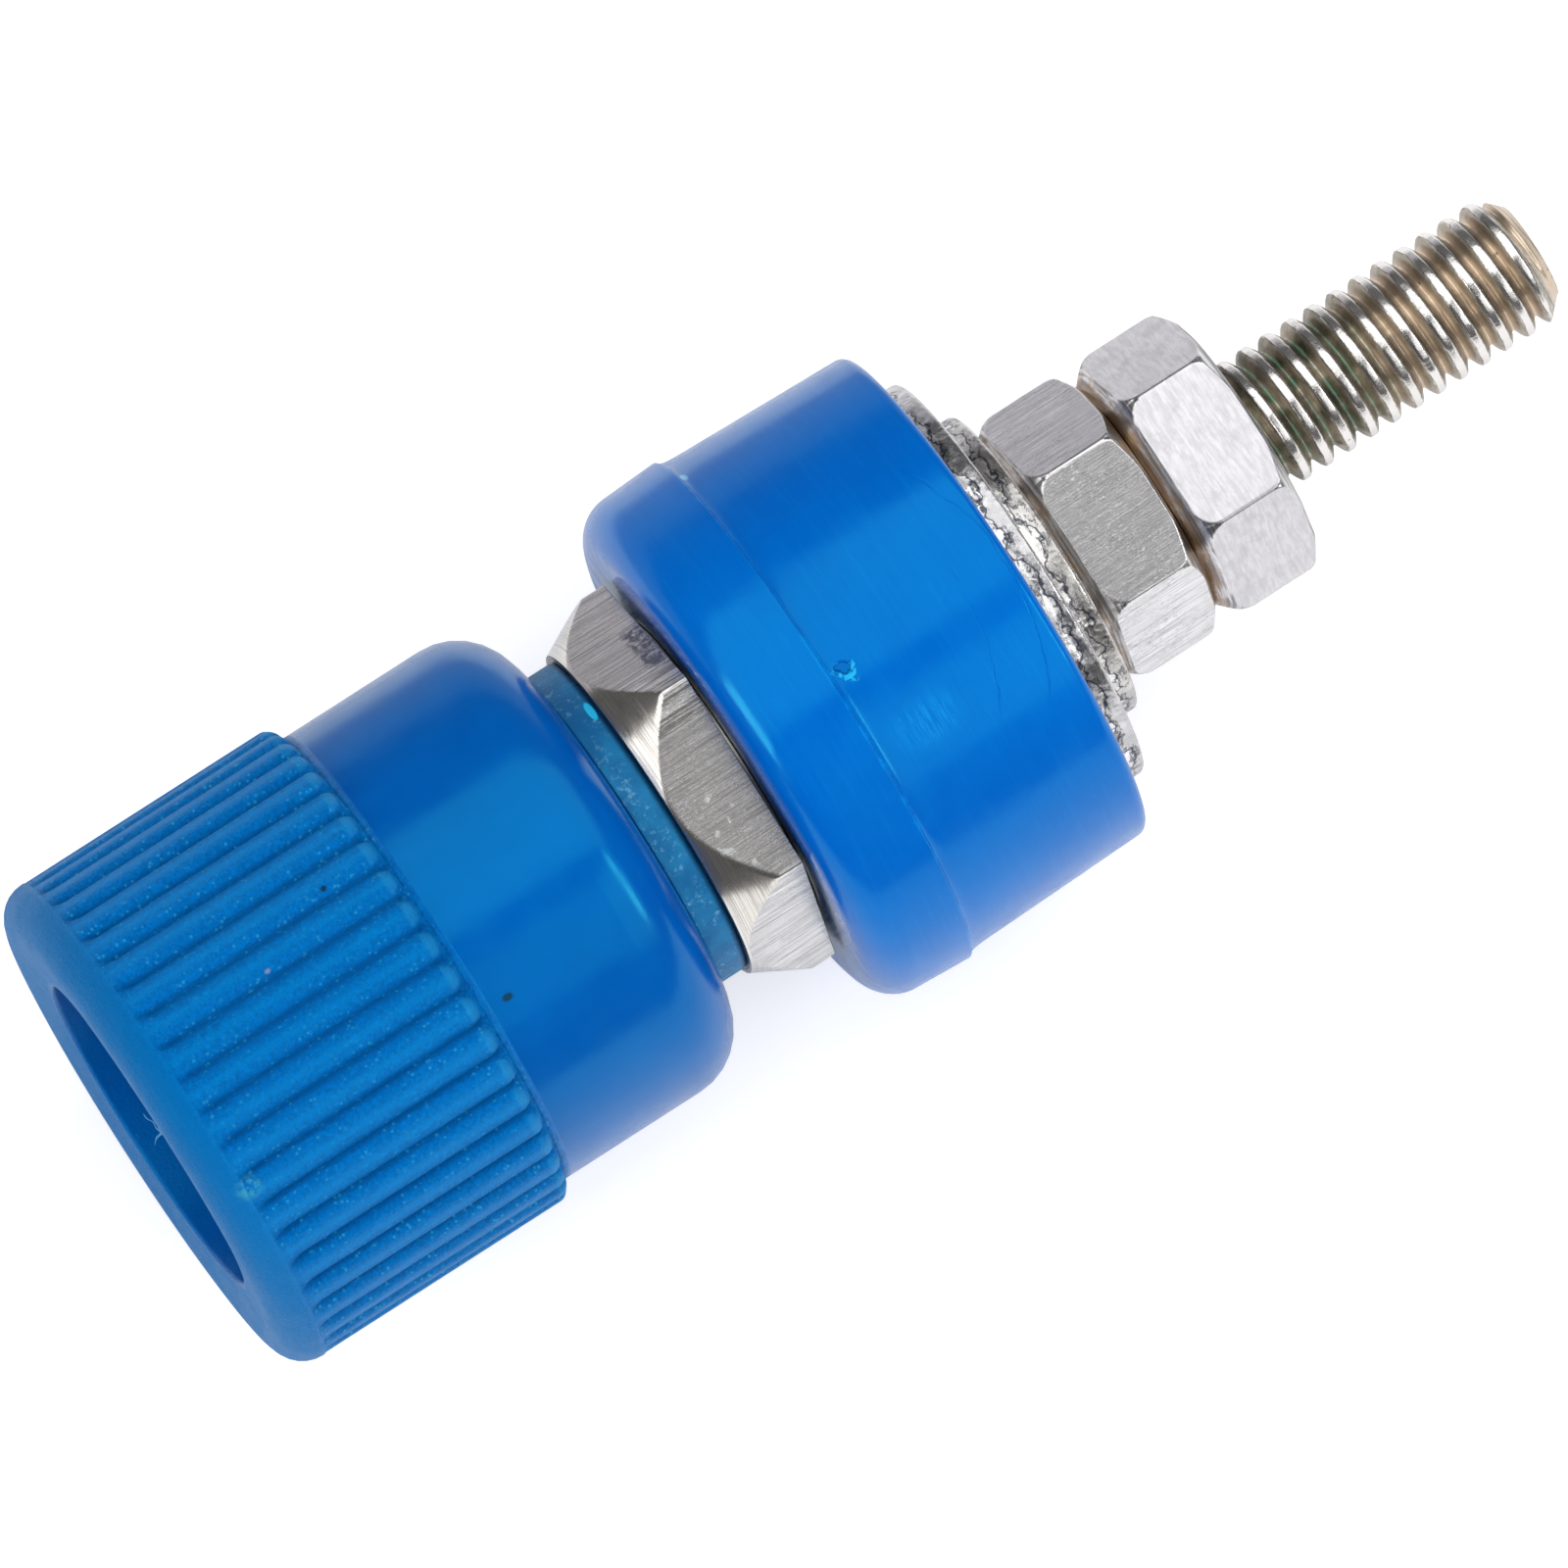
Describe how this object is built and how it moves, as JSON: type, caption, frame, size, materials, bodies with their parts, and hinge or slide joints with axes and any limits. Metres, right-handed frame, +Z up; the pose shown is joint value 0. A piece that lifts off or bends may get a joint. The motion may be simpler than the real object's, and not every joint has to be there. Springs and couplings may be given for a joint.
{
  "type": "binding post",
  "caption": "Insulated 4 mm binding post with a blue ribbed screw-down knob, blue panel insulators and a threaded stud with washers and hexagon nuts.",
  "frame": {"origin": "on the post's axis, in the plane where the front insulator's flange seats on the panel", "axes": "+Y runs along the axis from the knob to the stud's tip, so the knob faces -Y; +Z is up; +X is to the right as the knob's front is looked at"},
  "size_m": [0.0152, 0.0432, 0.0152],
  "materials": {
    "knob_blue": "moulded, gloss, matt on the ribs",
    "insulator_blue": "moulded, gloss",
    "ring_blue": "frosted",
    "nickel_brass": "turned, nickel plated",
    "plated_steel": "plated, dull, scuffed"
  },
  "bodies": {
    "post": {"stem": "nickel_brass", "front_insulator": "insulator_blue"},
    "ring": {"clamp_ring": "ring_blue"},
    "knob": {"knob_cap": "knob_blue", "knob_insert": "nickel_brass"},
    "rear_stack": {"rear_insulator": "insulator_blue", "large_washer": "plated_steel", "small_washer": "plated_steel"},
    "clamp_nut": {"inner_nut": "plated_steel"},
    "lug_nut": {"outer_nut": "plated_steel"}
  },
  "joints": [
    {"name": "knob_travel", "type": "slide", "parent": "post", "child": "ring", "axis": [0, -1, 0], "range_m": [0, 0.0045]},
    {"name": "knob_turn", "type": "hinge", "parent": "ring", "child": "knob", "pos_m": [0, -0.0107, 0], "axis": [0, -1, 0], "range_deg": [0, 2162]},
    {"name": "panel_grip", "type": "slide", "parent": "post", "child": "rear_stack", "axis": [0, 1, 0], "range_m": [0, 0.004]},
    {"name": "clamp_nut_turn", "type": "hinge", "parent": "rear_stack", "child": "clamp_nut", "pos_m": [0, 0.0088, 0], "axis": [0, 1, 0], "range_deg": [0, 2060]},
    {"name": "lug_nut_travel", "type": "slide", "parent": "rear_stack", "child": "lug_nut", "axis": [0, 1, 0], "range_m": [0, 0.0048]}
  ],
  "couplings": [
    {"joint": "knob_turn", "follows": "knob_travel", "rad_per_m": 8377.6},
    {"joint": "clamp_nut_turn", "follows": "panel_grip", "rad_per_m": 8976}
  ]
}
